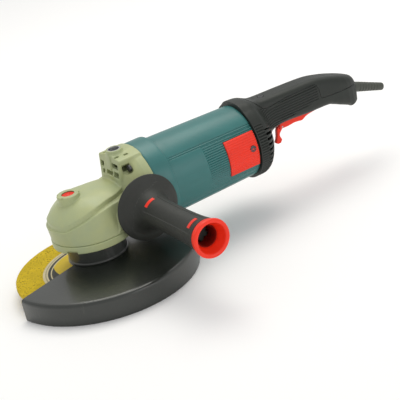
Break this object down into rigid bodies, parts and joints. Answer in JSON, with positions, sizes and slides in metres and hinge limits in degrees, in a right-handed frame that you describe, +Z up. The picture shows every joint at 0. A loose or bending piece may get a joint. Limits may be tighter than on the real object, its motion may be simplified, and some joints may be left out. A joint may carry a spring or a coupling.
{
  "type": "angle grinder",
  "caption": "Large two-handed angle grinder with a painted gear head, turning disc guard, side handle, barrel motor housing and rear trigger handle.",
  "frame": {"origin": "centre of the spindle's lower end face", "axes": "+X from the rear handle to the gear head, +Y to the side handle, +Z up along the spindle"},
  "size_m": [0.6078, 0.3314, 0.1624],
  "materials": {
    "head_paint": "satin",
    "housing_plastic": "satin",
    "black_plastic": "satin",
    "guard_paint": "satin",
    "red_plastic": "satin",
    "steel": "ground",
    "dark_steel": "blued",
    "copper": "varnished",
    "laminations": "stacked sheet",
    "carbon": "graphite",
    "brass": "drawn",
    "white_plastic": "moulded",
    "abrasive": "resin bonded grit"
  },
  "bodies": {
    "tool_body": {"gear_housing": "head_paint", "bearing_flange": "head_paint", "flange_screw_1": "dark_steel", "flange_screw_2": "dark_steel", "flange_screw_3": "dark_steel", "flange_screw_4": "dark_steel", "head_screw_1": "dark_steel", "head_screw_2": "dark_steel", "head_screw_3": "dark_steel", "head_screw_4": "dark_steel", "cable_clamp": "dark_steel", "lower_bearing": "steel", "upper_bearing": "steel", "lock_spring": "steel", "side_handle_stud": "steel", "front_motor_bearing": "steel", "rear_motor_bearing": "steel", "brush_cover_screw_left": "steel", "brush_cover_screw_right": "steel", "handle_screw_rear": "steel", "handle_screw_front": "steel", "trigger_pin": "steel", "side_handle_core": "red_plastic", "brush_cover_left": "red_plastic", "brush_cover_right": "red_plastic", "side_handle_grip": "black_plastic", "air_baffle": "black_plastic", "handle_body": "black_plastic", "handle_cover": "black_plastic", "cable_sleeve": "black_plastic", "motor_housing": "housing_plastic", "stator_core": "laminations", "field_coil_upper": "copper", "field_coil_lower": "copper", "brush_holder_left": "brass", "brush_holder_right": "brass", "carbon_brush_left": "carbon", "carbon_brush_right": "carbon", "switch_unit": "white_plastic", "suppression_capacitor": "white_plastic"},
    "spindle_body": {"spindle": "steel", "crown_gear": "dark_steel", "grinding_disc": "abrasive", "inner_flange": "steel", "clamping_nut": "steel"},
    "armature_body": {"pinion_gear": "dark_steel", "armature_shaft": "steel", "armature_core": "laminations", "armature_winding": "copper", "commutator": "copper", "cooling_fan": "black_plastic"},
    "guard_body": {"guard": "guard_paint", "guard_clamp_band": "guard_paint", "guard_clamp_screw": "steel"},
    "lock_body": {"lock_button": "red_plastic", "lock_pin": "steel"},
    "trigger_body": {"trigger": "red_plastic", "lock_off_pin": "steel"},
    "lock_off_body": {"lock_off_lever": "red_plastic"},
    "plunger_body": {"switch_plunger": "red_plastic"}
  },
  "joints": [
    {"name": "spindle_spin", "type": "hinge", "parent": "tool_body", "child": "spindle_body", "pos_m": [0, 0, 0], "axis": [0, 0, 1], "continuous": true},
    {"name": "armature_spin", "type": "hinge", "parent": "tool_body", "child": "armature_body", "pos_m": [-0.1, 0, 0.083], "axis": [1, 0, 0], "continuous": true},
    {"name": "guard_turn", "type": "hinge", "parent": "tool_body", "child": "guard_body", "pos_m": [0, 0, 0.02], "axis": [0, 0, 1], "range_deg": [-90, 90]},
    {"name": "lock_press", "type": "slide", "parent": "tool_body", "child": "lock_body", "axis": [0, 0, -1], "range_m": [0, 0.005], "stiffness_N_per_m": 500, "springref_m": -0.003, "deforming": ["lock_spring"]},
    {"name": "trigger_squeeze", "type": "hinge", "parent": "tool_body", "child": "trigger_body", "pos_m": [-0.381, 0, 0.0872], "axis": [0, -1, 0], "range_deg": [0, 5], "stiffness_Nm_per_rad": 3, "springref_deg": -4.58},
    {"name": "lock_off_tilt", "type": "hinge", "parent": "trigger_body", "child": "lock_off_body", "pos_m": [-0.3045, 0, 0.0782], "axis": [0, 1, 0], "range_deg": [0, 12], "stiffness_Nm_per_rad": 0.05, "springref_deg": -11.46},
    {"name": "plunger_slide", "type": "slide", "parent": "tool_body", "child": "plunger_body", "axis": [0, 0, 1], "range_m": [0, 0.0055]}
  ],
  "couplings": [
    {"joint": "armature_spin", "follows": "spindle_spin", "ratio": -4},
    {"joint": "plunger_slide", "follows": "trigger_squeeze", "m_per_rad": 0.055}
  ]
}
